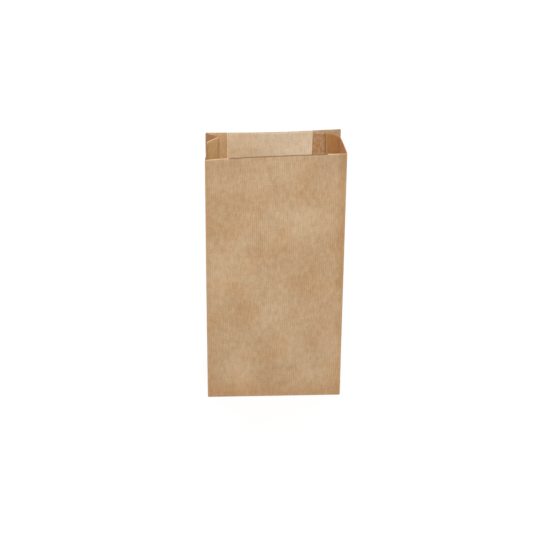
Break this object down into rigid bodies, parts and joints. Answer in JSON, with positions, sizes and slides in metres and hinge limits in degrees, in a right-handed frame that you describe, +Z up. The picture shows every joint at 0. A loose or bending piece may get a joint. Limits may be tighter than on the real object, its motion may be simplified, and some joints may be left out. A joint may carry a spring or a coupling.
{
  "type": "brown paper lunch bag",
  "caption": "Plain brown kraft paper lunch bag, standing open on its block bottom, with side folds pinched in behind the mouth and a glued seam in the back.",
  "frame": {"origin": "middle of the bounding box, on the surface that the bag stands on", "axes": "+Z up towards the open mouth, -Y towards the plain front panel, +Y towards the back panel with the seam, +X to the right as seen from the front"},
  "size_m": [0.1316, 0.0846, 0.25],
  "materials": {
    "kraft_paper": "matt unbleached ribbed kraft paper"
  },
  "bodies": {
    "root": {"paper_bag": "kraft_paper"}
  },
  "joints": []
}
